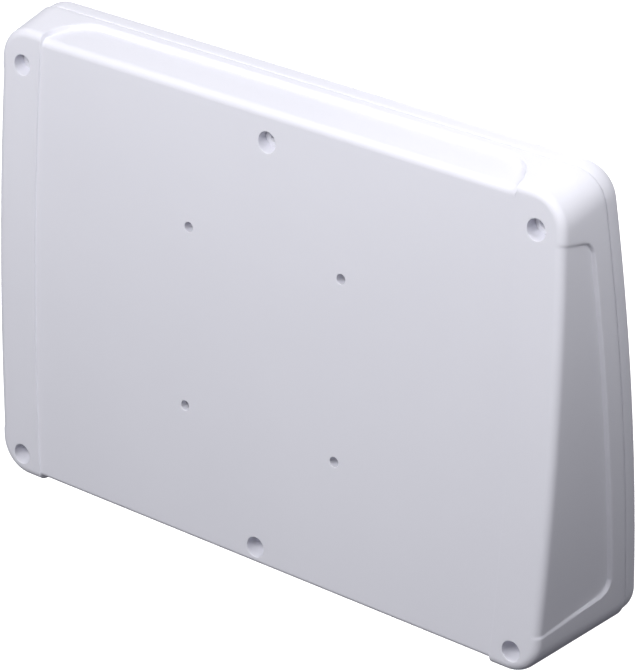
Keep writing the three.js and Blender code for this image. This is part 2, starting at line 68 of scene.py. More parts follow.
# ---------------------------------------------------------------- Studio
# A white sweep: flat floor turning up into a wall all round. It glows a little by
# itself so that it stays pale, and lends no light to the object.
def surface(name, patches, sharp_angle=40.0, merge=2e-6):
    """Mesh object from patches of (points in mm, quads): the patches are laid together,
    points closer than merge become one, and the faces are turned to point outwards."""
    points, quads, start = [], [], 0
    for patch_points, patch_quads in patches:
        flat = np.asarray(patch_points, float).reshape(-1, 3)
        points.append(flat * 0.001)
        quads.append(np.asarray(patch_quads) + start)
        start += len(flat)
    points, quads = np.concatenate(points), np.concatenate(quads)
    mesh = bpy.data.meshes.new(name)
    mesh.from_pydata(points.tolist(), [], quads.tolist())
    work = bmesh.new()
    work.from_mesh(mesh)
    bmesh.ops.remove_doubles(work, verts=work.verts, dist=merge)
    bmesh.ops.recalc_face_normals(work, faces=work.faces)
    work.to_mesh(mesh)
    work.free()
    mesh.polygons.foreach_set("use_smooth", np.ones(len(mesh.polygons), bool))
    mesh.set_sharp_from_angle(angle=math.radians(sharp_angle))
    piece = bpy.data.objects.new(name, mesh)
    bpy.context.collection.objects.link(piece)
    return piece


def grid_quads(rows, columns, closed=False, keep=None):
    """Quads of a grid of rows x columns points: cell (r, c) joins points (r, c), (r, c + 1),
    (r + 1, c + 1) and (r + 1, c). closed joins the last column to the first."""
    r, c = np.mgrid[0:rows - 1, 0:columns if closed else columns - 1]
    beside = (c + 1) % columns
    quads = np.stack([r * columns + c, r * columns + beside,
                      (r + 1) * columns + beside, (r + 1) * columns + c], -1)
    return quads.reshape(-1, 4) if keep is None else quads[keep]


def turned(profile, start, axis, segments=48):
    """Patch turned about an axis: profile point (radius, distance) becomes the circle
    start + distance * axis + radius * (cos a * u + sin a * v), u and v square to the axis."""
    start, axis = np.array(start, float), np.array(axis, float)
    axis /= np.linalg.norm(axis)
    across = np.cross(axis, [1, 0, 0] if abs(axis[0]) < 0.9 else [0, 0, 1])
    across /= np.linalg.norm(across)
    beside = np.cross(axis, across)
    radius, distance = np.array(profile, float).T[:, :, None]
    angle = np.arange(segments)[None] * 2 * np.pi / segments
    circle = np.cos(angle)[..., None] * across + np.sin(angle)[..., None] * beside
    points = start + distance[..., None] * axis + radius[..., None] * circle
    return points, grid_quads(len(profile), segments, closed=True)


def material(name):
    """New node material, as its node tree and the principled shader in it."""
    made = bpy.data.materials.new(name)
    made.use_nodes = True
    return made, made.node_tree, made.node_tree.nodes["Principled BSDF"]


floor_height = -250.0
sweep_angles = np.linspace(0, np.pi / 2, 13)
sweep_profile = [(0, 0), (500, 0), (1500, 0), (3000, 0)]
sweep_profile += [(3000 + 1500 * math.sin(a), 1500 * (1 - math.cos(a))) for a in sweep_angles[1:]]
sweep_profile += [(4500, 4000)]
sweep = surface("studio_sweep", [turned(sweep_profile, (0, 0, floor_height), (0, 0, 1), 96)], 90)
sweep.data.flip_normals()
sweep_white, tree, shader = material("sweep_white")
shader.inputs["Base Color"].default_value = (0.86, 0.86, 0.87, 1)
shader.inputs["Roughness"].default_value = 0.9
shader.inputs["Emission Color"].default_value = (1, 1, 1, 1)
shader.inputs["Emission Strength"].default_value = 0.82
facing = tree.nodes.new("ShaderNodeNewGeometry")
clear = tree.nodes.new("ShaderNodeBsdfTransparent")
one_sided = tree.nodes.new("ShaderNodeMixShader")
tree.links.new(facing.outputs["Backfacing"], one_sided.inputs[0])
tree.links.new(shader.outputs[0], one_sided.inputs[1])
tree.links.new(clear.outputs[0], one_sided.inputs[2])
tree.links.new(one_sided.outputs[0], tree.nodes["Material Output"].inputs["Surface"])
sweep.data.materials.append(sweep_white)
sweep.visible_diffuse = False
sweep.visible_glossy = False
for place, aim, size, power, tint in (
    ((0.0, 0.8, 0.56), (0, 0, 0), 0.5, 7.7, (1.0, 1.0, 1.0)),
    ((-0.42, 0.02, 0.35), (-0.12, -0.03, 0.05), 0.2, 0.9, (1.0, 1.0, 1.0)),
    ((-0.25, 0.22, 0.42), (-0.05, 0, 0), 0.3, 0.05, (1.0, 1.0, 1.0)),
    ((0.2, 0.22, 0.42), (0.05, 0, 0), 0.3, 0.34, (1.0, 1.0, 1.0)),
    ((0.05, -0.12, 0.7), (0, -0.02, 0), 0.5, 0.85, (1.0, 1.0, 1.0)),
    ((0.5, -1.3, 0.35), (0, 0, 0), 0.7, 12.0, (1.0, 1.0, 1.0)),
):
    lamp = bpy.data.objects.new("soft_light", bpy.data.lights.new("soft_light", "AREA"))
    lamp.data.shape = "SQUARE"
    lamp.data.size = size
    lamp.data.energy = power
    lamp.data.color = tint
    lamp.location = place
    lamp.rotation_euler = (Vector(aim) - Vector(place)).to_track_quat("-Z", "Y").to_euler()
    lamp.visible_camera = False
    bpy.context.collection.objects.link(lamp)
room = bpy.data.worlds.new("room")
room.use_nodes = True
room.node_tree.nodes["Background"].inputs["Color"].default_value = (0.88, 0.88, 1.0, 1)
room.node_tree.nodes["Background"].inputs["Strength"].default_value = 0.11
bpy.context.scene.world = room


# ---------------------------------------------------------------- Rear shell
# The deep half of the housing: one injection-moulded tray in pale UV-stable plastic, with
# drafted walls, a rounded back edge, shallow recesses and screw posts moulded in.
back_y = 0.6
back_outline = dict(half=138.8, top=97.0, bottom=-95.4, corner=14.5, bow=1500.0)
joint_outline = dict(half=141.1, top=100.7, bottom=-92.2, corner=13.0, bow=1190.0)
bow_centre = 2.0
joint_y, joint_slope = -38.5, 0.18
joint_angle = math.atan(joint_slope)
draw = np.array([0, -math.cos(joint_angle), math.sin(joint_angle)])
across_draw = np.array([0, math.sin(joint_angle), math.cos(joint_angle)])
wall, back_wall = 3.6, 3.4
edge_radius = 3.6
panel_half = 117.7
screw_x, screw_tops, screw_bottoms = 124.6, 81.7, -86.5
bore_radius, bore_clear, post_radius = 4.15, 2.3, 6.6
seat_before_joint = 15.5
lip = 0.2


def spread(*spans):
    """Values running through spans of (start, end, steps), in equal steps along each span."""
    runs = [np.linspace(a, b, n, endpoint=False) for a, b, n in spans]
    return np.append(np.concatenate(runs), spans[-1][1])


def outline(track, half, top, bottom, corner, bow):
    """Housing outline in X, Z at the track's columns: straight along the bottom, round the
    lower corner, up a side bowed as x = half - (z - 2)^2 / (2 bow), round the upper corner
    and back along the top, and then the same mirrored."""
    side_x = lambda z: half - (z - bow_centre) ** 2 / (2 * bow)
    lean = lambda z: np.arctan((z - bow_centre) / bow)
    low, high = bottom + corner, top - corner
    low_x = side_x(low + corner * np.sin(lean(low))) - corner * np.cos(lean(low))
    high_x = side_x(high + corner * np.sin(lean(high))) - corner * np.cos(lean(high))
    low_angle = -np.pi / 2 + track["lower"] * (lean(low) + np.pi / 2)
    high_angle = lean(high) + track["upper"] * (np.pi / 2 - lean(high))
    low_end, high_end = low + corner * np.sin(lean(low)), high + corner * np.sin(lean(high))
    side_z = np.interp(track["side"], [-80.5, -79.4, 79.9, 82.5], [low_end, -79.4, 79.9, high_end])
    x = np.concatenate([
        np.interp(track["bottom"], [0, 118.6, 124.6], [0, 118.6, low_x]),
        low_x + corner * np.cos(low_angle),
        side_x(side_z),
        high_x + corner * np.cos(high_angle),
        np.interp(track["top"], [0, 118.6, 124.6], [0, 118.6, high_x]),
    ])
    z = np.concatenate([
        np.full(len(track["bottom"]), bottom), low + corner * np.sin(low_angle), side_z,
        high + corner * np.sin(high_angle), np.full(len(track["top"]), top),
    ])
    return np.append(x, -x[-2:0:-1]), np.append(z, z[-2:0:-1])


def joint_ring(track, inset, distance, corner=13.0):
    """Ring on the joint plane, set in from its outline and moved out along the plane's normal."""
    o = joint_outline
    x, z = outline(track, o["half"] - inset, o["top"] - inset, o["bottom"] + inset,
                   max(corner - inset, 2), o["bow"])
    return np.stack([x, joint_y + joint_slope * z, z], -1) + draw * distance


def smooth(edge, width):
    """0 where edge is below -width / 2, 1 above width / 2, and an S curve between."""
    t = np.clip(edge / width + 0.5, 0, 1)
    return t * t * (3 - 2 * t)


def round_corner(a, b, radius):
    """Distance inside a corner whose two sides are a and b away, its corner rounded."""
    near = np.minimum(a, b)
    curve = radius - np.hypot(np.maximum(radius - a, 0), np.maximum(radius - b, 0))
    return np.where((a < radius) & (b < radius), curve, near)


def step_x(z):
    """Half width of the central panel, bowed like the sides."""
    return panel_half - (z - bow_centre) ** 2 / 3000.0


def panel_mask(x, z):
    return smooth(step_x(z) - np.abs(x), 0.5)


# Columns across and rows up the back face. Blocks of cells around each hole are left out
# and filled with rings that run from the block's square edge to the round hole.
half_columns = spread((0, 6, 8), (6, 33.5, 5), (33.5, 41.5, 12), (41.5, 96, 9), (96, 117.1, 36),
                      (117.1, 118.3, 6), (118.3, 118.6, 1), (118.6, 124.6, 8), (124.6, 130.6, 8))
columns = np.append(-half_columns[:0:-1], half_columns)
levels = spread((-91.25, -86.5, 8), (-86.5, -80.5, 8), (-80.5, -78.9, 2), (-78.9, -76.7, 6),
                (-76.7, -66, 14), (-66, -41.5, 4), (-41.5, -33.5, 12), (-33.5, 33.5, 10),
                (33.5, 41.5, 12), (41.5, 70, 5), (70, 75.7, 8), (75.7, 81.7, 8), (81.7, 87.7, 8))
side_levels = levels[(levels > -80.4) & (levels < 75.8)]
shell_track = dict(
    bottom=half_columns[half_columns < 124.7],
    lower=np.append((half_columns[half_columns > 124.7] - 124.6) / 6 * 0.457,
                    0.457 + 0.543 * np.arange(1, 17) / 16),
    side=np.append(side_levels, [76.4, 77.1, 77.7, 78.3, 78.9, 79.7, 80.9]),
    upper=np.append(np.arange(0, 9) / 16, 0.5 + np.arange(1, 8) / 16),
    top=half_columns[half_columns < 124.7][::-1],
)
shell_middle = len(half_columns) - 1


def face_grid(y_of):
    """Back face grid: the columns near the step follow its bow, and y_of(x, z) gives depth."""
    x, z = np.meshgrid(columns, levels)
    follow = np.interp(np.abs(x), [96, 117.1, 118.3, 118.6], [0, 1, 1, 0])
    x = x - np.sign(x) * follow * (z - bow_centre) ** 2 / 3000.0
    from_x, from_z = np.abs(x) - 122.0, z + 80.9
    pull = 10.75 / np.maximum(np.hypot(from_x, from_z), 10.75)
    corner = (from_x > 0) & (from_z < 0)
    x = np.where(corner, np.sign(x) * (122.0 + from_x * pull), x)
    z = np.where(corner, from_z * pull - 80.9, z)
    return np.stack([x, y_of(x, z), z], -1)


def rim(grid):
    """Edge points of a grid in order, anticlockwise from its lower left."""
    return np.concatenate([grid[0], grid[1:, -1], grid[-1, -2::-1], grid[-2:0:-1, 0]])


def block_of(centre_x, centre_z, reach):
    """Slices of the columns and levels that a hole's block spans."""
    near_x = np.abs(columns - centre_x) < reach + 0.01
    near_z = np.abs(levels - centre_z) < reach + 0.01
    if centre_z == screw_bottoms:
        near_z = levels < -80.49
    i, j = np.flatnonzero(near_x), np.flatnonzero(near_z)
    return slice(j[0], j[-1] + 1), slice(i[0], i[-1] + 1)


screw_places = {
    "top_left": (-screw_x, screw_tops), "top_middle": (0.0, screw_tops),
    "top_right": (screw_x, screw_tops), "bottom_left": (-screw_x, screw_bottoms),
    "bottom_middle": (0.0, screw_bottoms), "bottom_right": (screw_x, screw_bottoms),
}
mount_places = [(37.5 * a, 37.5 * b) for a in (-1, 1) for b in (-1, 1)]
plate_places = [(96.0 * a, 50.0 * b) for a in (-1, 1) for b in (-1, 1)]
boss_end = 12.7


def joint_run(z):
    """Distance from a screw's start on the back face to the joint plane, along its axis."""
    return math.cos(joint_angle) * (back_y - joint_y - joint_slope * z)


def bored(edge, centre, axis, side_axis, plane_y, stages):
    """Patch of rings from a block's square edge through a hole. Each stage is (radius, share
    of the face's own slant, distance): the ring is centre + radius * (cos a * X + sin a *
    side_axis) + (share * t + distance) * axis, with t taking it onto the plane Y = plane_y."""
    angle = np.arctan2(edge[:, 2] - centre[2], edge[:, 0] - centre[0])
    across = np.cos(angle)[:, None] * np.array([1.0, 0, 0])
    beside = np.sin(angle)[:, None] * side_axis
    rings = []
    for radius, share, distance, *level in stages:
        ring = centre + radius * (across + beside)
        to_plane = ((level[0] if level else plane_y) - ring[:, 1]) / axis[1]
        rings.append(ring + (share * to_plane + distance)[:, None] * axis)
    return np.array(rings)


def rear_shell():
    """The whole shell as one closed skin: back face, rounded back edge, outer wall with its
    recesses, joint rim with the seal's groove, inner wall and inner face, and the tubes of
    the screw posts and mounting bosses that join the two faces."""
    face = face_grid(lambda x, z: back_y - back_y * panel_mask(x, z))
    inner = face_grid(lambda x, z: np.full_like(x, -back_wall))
    patches = []
    kept = np.ones((len(levels) - 1, len(columns) - 1), bool)

    def through(place, reach, axis, side_axis, start, outer_stages, inner_stages, plane_y):
        rows, cols = block_of(*place, reach)
        kept[rows.start:rows.stop - 1, cols.start:cols.stop - 1] = False
        outside, inside = rim(face[rows, cols]), rim(inner[rows, cols])
        centre = np.array([place[0], start, place[1]])
        tube = bored(outside, centre, axis, side_axis, plane_y, outer_stages + inner_stages)
        first, last = tube[0], tube[-1]
        lead = [outside + (first - outside) * t for t in (0, 0.35, 0.7)]
        follow = [last + (inside - last) * t for t in (0.5, 1.0)]
        rings = np.concatenate([lead, tube, follow])
        patches.append((rings, grid_quads(len(rings), rings.shape[1], closed=True)))

    lip_turns = [(1 - math.sin(t), 1 - math.cos(t)) for t in np.linspace(0, np.pi / 2, 5)]
    for x, z in screw_places.values():
        seat = joint_run(z) - seat_before_joint
        plane = 0.0 if x == 0 else back_y
        through(
            (x, z), 6.0, draw, across_draw, back_y,
            [(bore_radius + lip * out, 1, lip * down) for out, down in lip_turns]
            + [(bore_radius, 0, seat - 0.3), (bore_radius - 0.1, 0, seat - 0.1),
               (bore_radius - 0.3, 0, seat), (bore_clear + 0.2, 0, seat),
               (bore_clear, 0, seat + 0.2), (bore_clear, 0, seat + 1.8),
               (bore_clear + 0.2, 0, seat + 2)],
            [(post_radius - 0.4, 0, seat + 2), (post_radius - 0.1, 0, seat + 1.9),
             (post_radius, 0, seat + 1.6), (post_radius, 1, 0.5, -back_wall),
             (post_radius, 1, -0.4, -back_wall), (5.6, 1, -0.4, -back_wall),
             (5.6, 1, 0, -back_wall)],
            plane,
        )
    straight, upright = np.array([0.0, -1, 0]), np.array([0.0, 0, 1])
    for place in mount_places:
        through(
            place, 4.0, straight, upright, 0.0,
            [(2.1 + 0.15 * out, 0, 0.15 * down) for out, down in lip_turns]
            + [(2.1, 0, 5.9), (2.2, 0, 6), (3.3, 0, 6), (3.3, 0, boss_end - 0.2),
               (3.5, 0, boss_end)],
            [(4.8, 0, boss_end), (5, 0, boss_end - 0.2), (5, 0, back_wall + 0.6),
             (5.0, 0, back_wall - 0.4), (3.9, 0, back_wall - 0.4), (3.9, 0, back_wall)],
            0.0,
        )
    patches.append((face, grid_quads(len(levels), len(columns), keep=kept)))
    patches.append((inner, grid_quads(len(levels), len(columns), keep=kept)))

    # Rings of the rounded back edge, from the face to the wall
    o, j = back_outline, joint_outline
    edge_x, _ = outline(shell_track, **o)
    half_count = len(shell_track["bottom"])
    count = len(edge_x)
    upper = sum(len(shell_track[k]) for k in ("bottom", "lower", "side", "upper")) - 1
    index = np.arange(count)
    mirrored = np.minimum(index, count - index)
    on_bottom, on_top = mirrored < half_count, mirrored > upper
    follow = np.interp(np.abs(edge_x), [96, 117.1, 118.3, 118.6], [0, 1, 1, 0])
    pull = np.where(on_top, (o["top"] - 2) ** 2, (o["bottom"] - 2) ** 2) / 3000.0
    shift = np.sign(edge_x) * follow * pull * (on_top | on_bottom)
    slant = np.zeros(count)
    side_start = len(shell_track["bottom"]) + len(shell_track["lower"])
    side_q = shell_track["side"]
    side_slant = np.interp(side_q, [-80.5, -79.4, -76, 0, 77, 79.9, 82.5],
                           [0, 0.08, 0.12, 0, -0.17, -0.12, 0])
    side_index = side_start + np.arange(len(side_q))
    slant[side_index] = side_slant
    slant[count - side_index] = side_slant

    def recessed(ring, share):
        """Moves a ring of the plain wall in by the depth of the recess it lies in: the
        central panel's top and bottom pockets in Z, and the side pockets in X."""
        x, y, z = ring.T.copy()
        half_top, half_bottom = step_x(o["top"]), step_x(o["bottom"])
        top = round_corner(half_top - np.abs(x), 16.5 + y, 17)
        bottom = round_corner(half_bottom - np.abs(x), 16.5 + y, 17)
        top, bottom = smooth(top, 0.9) * on_top, smooth(bottom, 0.9) * on_bottom
        depth = back_y - y
        front = (y - (joint_y + joint_slope * z + 8.9)) * math.cos(joint_angle)
        ceiling = round_corner(78.3 - 0.17 * depth - z, front, 4)
        floor = round_corner(z + 77.8 - 0.12 * depth, front, 6)
        side = smooth(np.minimum(ceiling, floor), 1.3)
        side[on_top | on_bottom] = 0
        z = z - 2.0 * top + 1.5 * bottom
        y = y - back_y * (top + bottom) * (1 - share)
        x = x - np.sign(x) * side * (0.5 + 1.3 * share)
        return np.stack([x, y, z], -1)

    def back_ring(inwards, forwards):
        x, z = outline(shell_track, o["half"] - inwards, o["top"] - inwards,
                       o["bottom"] + inwards, max(o["corner"] - inwards, 2), o["bow"])
        return np.stack([x - shift, np.full(count, back_y - forwards), z], -1)

    bottom_pinch = on_bottom * smooth(step_x(o["bottom"]) - np.abs(edge_x - shift), 1.1)
    rings = []
    for turn in np.linspace(0, np.pi / 2, 9):
        inwards = edge_radius * (1 - math.sin(turn))
        forwards = edge_radius * (1 - math.cos(turn))
        ring = back_ring(inwards, forwards)
        ring[:, 2] -= bottom_pinch * 1.1 * (1 - math.sin(turn))
        ring[:, 2] += slant * forwards
        rings.append(recessed(ring, 0.0))
    face_edge = np.roll(rim(face), -shell_middle, axis=0)
    first = rings[0].copy()
    lead = [face_edge + (first - face_edge) * t for t in (0, 0.3, 0.6, 0.85, 0.97)]
    for row in lead[1:]:
        row[:, 1] = back_y - back_y * panel_mask(row[:, 0], row[:, 2])
    rings[:0] = lead

    # Rings of the wall, closer together at the front of the recesses
    wall_start = back_ring(0, edge_radius)
    wall_start[:, 2] += slant * edge_radius
    wall_end = joint_ring(shell_track, 0, 0)
    wall_end[:, 0] -= shift
    wall_end[:, 2] += slant * (back_y - wall_end[:, 1])
    side_half = joint_outline["half"] - (wall_end[:, 2] - bow_centre) ** 2 / (2 * joint_outline["bow"])
    sides = np.isin(index, side_index) | np.isin(count - index, side_index)
    wall_end[sides, 0] = (np.sign(wall_end[:, 0]) * side_half)[sides]
    wall_end[:, 1] = joint_y + joint_slope * wall_end[:, 2]
    run = wall_start[:, 1] - wall_end[:, 1]
    side_front = -8.9 - wall_end[:, 1] - edge_radius + back_y
    from_step = np.where(on_top, step_x(o["top"]), step_x(o["bottom"])) - np.abs(edge_x - shift)
    in_arc = np.clip(17 - from_step, 0, 16.9)
    flat_front = 16.5 - 17 + np.sqrt(17 ** 2 - in_arc ** 2) - edge_radius
    side_arc = np.clip(6 - (wall_end[:, 2] + 72.3), 0, 6)
    side_front -= 6 - np.sqrt(np.maximum(36 - side_arc ** 2, 0))
    anchors = np.flatnonzero(sides | on_top | on_bottom)
    front_run = np.where(sides, side_front, np.maximum(flat_front, 1.6))
    front_run = np.interp(index, anchors, front_run[anchors])
    ease = np.interp(index, anchors, np.where(sides, 1.8, 1.0)[anchors])
    steep = np.where(on_top | on_bottom, np.hypot(1, in_arc / np.sqrt(17 ** 2 - in_arc ** 2)), 1)
    band = np.minimum(0.75 * steep, front_run - 0.3)
    for t in np.linspace(0, 1, 35)[1:]:
        share = (front_run - band) * (1 - (1 - t) ** ease) / run
        ring = wall_start + (wall_end - wall_start) * share[:, None]
        rings.append(recessed(ring, share))
    for t in np.linspace(0, 1, 12)[1:]:
        share = (front_run - band + 2 * band * t) / run
        ring = wall_start + (wall_end - wall_start) * share[:, None]
        rings.append(recessed(ring, share))
    for t in np.linspace(0, 1, 7)[1:]:
        begin = (front_run + band) / run
        share = begin + (1 - 0.35 / run - begin) * t
        rings.append(recessed(wall_start + (wall_end - wall_start) * share[:, None], share))

    # Joint rim with the seal's groove, inner wall and the edge of the inner face
    for inset, distance in (
        (0.05, -0.25), (0.2, -0.08), (0.45, 0), (1.1, 0), (1.2, -0.1), (1.2, -2.2), (1.4, -2.4),
        (2.6, -2.4), (2.8, -2.2), (2.8, -0.1), (2.9, 0), (3.4, 0), (3.6, -0.2),
    ):
        rings.append(joint_ring(shell_track, inset, distance))
    x, z = outline(shell_track, *[o[k] + 0.1 * (j[k] - o[k]) + d for k, d in (
        ("half", -wall), ("top", -wall), ("bottom", wall), ("corner", -wall), ("bow", 0))])
    inner_edge = np.stack([x, np.full(count, -back_wall), z], -1)
    last = rings[-1]
    for t in (0.3, 0.6, 0.9, 1.0):
        rings.append(last + (inner_edge - last) * t)
    inner_face_edge = np.roll(rim(inner), -shell_middle, axis=0)
    rings.append(inner_edge + (inner_face_edge - inner_edge) * 0.3)
    rings.append(inner_face_edge)
    rings = np.array(rings)

    patches.append((rings, grid_quads(len(rings), count, closed=True)))
    # Two pads carry the port and the breather, and stand a little proud of the wall
    for side, bore in ((1, 8.2), (-1, 6.3)):
        ring = [(bore + 0.2, 0), (12.6, 0), (12.9, 0.1), (13, 0.4), (13, 5.7), (12.7, 6),
                (bore + 0.2, 6), (bore, 5.8), (bore, 0.2), (bore + 0.2, 0)]
        patches.append(turned(ring, (62 * side, -38, -94.4), (0, 0, 1), 64))
    for x, z in plate_places:
        boss = [(0, 2.6), (4, 2.6), (4, boss_end - 0.2), (3.8, boss_end), (2, boss_end),
                (1.8, boss_end - 0.2), (1.8, 6), (0, 6)]
        patches.append(turned(boss, (x, 0, z), (0, -1, 0), 32))
    return surface("shell_moulding", patches, 38)


def moulded_plastic(name, pale, deep, roughness, grain, fine=0.00003):
    """Textured moulding: two close shades drift over large soft patches, roughness varies a
    little, and two sizes of noise raise the fine spark-eroded grain of the mould."""
    made, tree, shader = material(name)
    place = tree.nodes.new("ShaderNodeTexCoord")

    def noise(scale, detail, rough=0.5):
        node = tree.nodes.new("ShaderNodeTexNoise")
        node.inputs["Scale"].default_value = scale
        node.inputs["Detail"].default_value = detail
        node.inputs["Roughness"].default_value = rough
        tree.links.new(place.outputs["Object"], node.inputs["Vector"])
        return node.outputs["Fac"]

    def ranged(value, low, high):
        node = tree.nodes.new("ShaderNodeMapRange")
        node.inputs["From Min"].default_value = 0.3
        node.inputs["From Max"].default_value = 0.7
        node.inputs["To Min"].default_value = low
        node.inputs["To Max"].default_value = high
        tree.links.new(value, node.inputs["Value"])
        return node.outputs["Result"]

    blend = tree.nodes.new("ShaderNodeMix")
    blend.data_type = "RGBA"
    blend.inputs[6].default_value = (*deep, 1)
    blend.inputs[7].default_value = (*pale, 1)
    tree.links.new(ranged(noise(14, 3), 0, 1), blend.inputs["Factor"])
    tree.links.new(blend.outputs[2], shader.inputs["Base Color"])
    tree.links.new(ranged(noise(90, 2), roughness - 0.04, roughness + 0.04),
                   shader.inputs["Roughness"])
    shader.inputs["IOR"].default_value = 1.5
    shader.inputs["Specular IOR Level"].default_value = 0.3
    coarse = tree.nodes.new("ShaderNodeBump")
    coarse.inputs["Strength"].default_value = 0.35
    coarse.inputs["Distance"].default_value = fine * 2
    tree.links.new(noise(grain / 4, 2), coarse.inputs["Height"])
    bump = tree.nodes.new("ShaderNodeBump")
    bump.inputs["Strength"].default_value = 0.5
    bump.inputs["Distance"].default_value = fine
    tree.links.new(noise(grain, 3, 0.6), bump.inputs["Height"])
    tree.links.new(coarse.outputs["Normal"], bump.inputs["Normal"])
    tree.links.new(bump.outputs["Normal"], shader.inputs["Normal"])
    return made


shell = rear_shell()
shell_plastic = moulded_plastic("shell_plastic", (0.80, 0.80, 0.868), (0.785, 0.785, 0.853), 0.58, 2200)
shell.data.materials.append(shell_plastic)
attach(shell, "housing")
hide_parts("rear_shell")


# ---------------------------------------------------------------- Front cover
# The shallow half: a moulded tray with a soft front edge. A tongue inside its rim presses
# the seal, and six bosses take the housing screws.
cover_depth, cover_edge, cover_step = 10.3, 6.2, 0.1
cover_track = dict(
    bottom=spread((0, 118.6, 20), (118.6, 124.6, 2)),
    lower=np.arange(1, 17) / 16,
    side=spread((-77.4, 79.9, 24), (79.9, 81, 1)),
    upper=np.arange(0, 16) / 16,
    top=spread((0, 118.6, 20), (118.6, 124.6, 2))[::-1],
)


def front_cover():
    """Closed skin of the cover: rings start at the middle of the front face, run over the soft
    edge and down the side to the rim, round the tongue and back up inside to the middle."""
    corner = 14.0
    front = joint_ring(cover_track, cover_step + cover_edge, cover_depth, corner)
    middle = front.mean(axis=0)
    rings = [middle + (front - middle) * t for t in (0, 0.1, 0.4, 0.7, 0.9, 0.97, 0.995)]
    for turn in np.linspace(np.pi / 2, 0, 13):
        inwards = cover_step + cover_edge * (1 - math.cos(turn))
        along = cover_depth - cover_edge * (1 - math.sin(turn))
        rings.append(joint_ring(cover_track, inwards, along, corner))
    for inset, distance, ring_corner in (
        (cover_step, 2.4, corner), (cover_step, 1.0, corner), (cover_step + 0.06, 0.72, corner),
        (cover_step + 0.2, 0.48, corner), (cover_step + 0.45, 0.33, corner), (0.85, 0.3, corner),
        (1.4, 0.3, 13), (1.5, 0.2, 13), (1.5, -0.7, 13), (1.7, -0.9, 13), (2.3, -0.9, 13),
        (2.5, -0.7, 13), (2.5, 0.2, 13), (2.6, 0.3, 13), (3.4, 0.3, corner), (3.6, 0.5, corner),
        (3.8, 2.6, corner), (4.0, 5.1, corner), (4.6, 6.3, corner), (6.0, 7.1, corner),
    ):
        rings.append(joint_ring(cover_track, inset, distance, ring_corner))
    inside = rings[-1]
    middle = inside.mean(axis=0)
    rings += [middle + (inside - middle) * t for t in (0.99, 0.9, 0.6, 0.3, 0.1, 0)]
    rings = np.array(rings)
    patches = [(rings, grid_quads(len(rings), rings.shape[1], closed=True))]
    for x, z in screw_places.values():
        run = joint_run(z)
        near, far = run - seat_before_joint + 2.3, run + 7.1
        boss = [(0, far + 0.8), (5.4, far + 0.8), (5.4, far - 0.05), (4.9, far - 0.3), (4.6, far - 0.8),
                (4.6, near + 0.3), (4.3, near), (2.6, near), (2.3, near + 0.3), (2.3, far - 1.2),
                (0, far - 1.0)]
        patches.append(turned(boss, (x, back_y, z), draw, 40))
    return surface("cover_moulding", patches, 38)


cover = front_cover()
cover_plastic = moulded_plastic("cover_plastic", (0.80, 0.80, 0.868), (0.785, 0.785, 0.853), 0.58, 2200)
cover.data.materials.append(cover_plastic)
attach(cover, "cover")
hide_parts("front_cover")


# ---------------------------------------------------------------- Housing seal
# Black silicone cord, extruded with rounded corners and laid all round in the shell's groove,
# where the cover's tongue presses it.
def housing_seal():
    """Cord carried round the joint outline: its section is centre + (0.5 cos a, 0.45 sin a),
    squared off by taking each of the two terms to the power 0.5."""
    angle = np.linspace(0, 2 * np.pi, 17)
    inset = 2.0 - 0.5 * np.sign(np.cos(angle)) * np.abs(np.cos(angle)) ** 0.5
    height = -1.65 + 0.45 * np.sign(np.sin(angle)) * np.abs(np.sin(angle)) ** 0.5
    rings = np.array([joint_ring(cover_track, i, h) for i, h in zip(inset, height)])
    return surface("seal_cord", [(rings, grid_quads(17, rings.shape[1], closed=True))], 50)


def worked(name, pale, deep, roughness, metallic, size, bump, stretch=(1, 1, 1), vary=0.06):
    """Metal, rubber or laminate: noise of the given size in metres, drawn out by stretch, moves
    the colour between two close shades and the roughness by vary, and raises the surface by bump."""
    made, tree, shader = material(name)
    place = tree.nodes.new("ShaderNodeTexCoord")
    drawn = tree.nodes.new("ShaderNodeMapping")
    drawn.inputs["Scale"].default_value = stretch
    tree.links.new(place.outputs["Object"], drawn.inputs["Vector"])
    grain = tree.nodes.new("ShaderNodeTexNoise")
    grain.inputs["Scale"].default_value = 1 / size
    grain.inputs["Detail"].default_value = 4
    tree.links.new(drawn.outputs["Vector"], grain.inputs["Vector"])
    shade = tree.nodes.new("ShaderNodeMix")
    shade.data_type = "RGBA"
    shade.inputs[6].default_value = (*deep, 1)
    shade.inputs[7].default_value = (*pale, 1)
    tree.links.new(grain.outputs["Fac"], shade.inputs["Factor"])
    tree.links.new(shade.outputs[2], shader.inputs["Base Color"])
    polish = tree.nodes.new("ShaderNodeMapRange")
    polish.inputs["To Min"].default_value = roughness - vary
    polish.inputs["To Max"].default_value = roughness + vary
    tree.links.new(grain.outputs["Fac"], polish.inputs["Value"])
    tree.links.new(polish.outputs["Result"], shader.inputs["Roughness"])
    raised = tree.nodes.new("ShaderNodeBump")
    raised.inputs["Strength"].default_value = 0.4
    raised.inputs["Distance"].default_value = bump
    tree.links.new(grain.outputs["Fac"], raised.inputs["Height"])
    tree.links.new(raised.outputs["Normal"], shader.inputs["Normal"])
    shader.inputs["Metallic"].default_value = metallic
    return made


seal = housing_seal()
seal_rubber = worked("seal_rubber", (0.035, 0.035, 0.037), (0.022, 0.022, 0.024), 0.62, 0,
                     0.0012, 0.00002)
seal.data.materials.append(seal_rubber)
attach(seal, "housing")
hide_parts("housing_seal")


# ---------------------------------------------------------------- Housing screws
# Six cylinder-head screws with a hexagon socket and a coarse thread, rolled from stainless
# steel and coated to match the housing; they run through the posts into the cover's bosses.
head_radius, head_height, shank_radius, screw_length = 3.95, 3.4, 1.95, 16.0


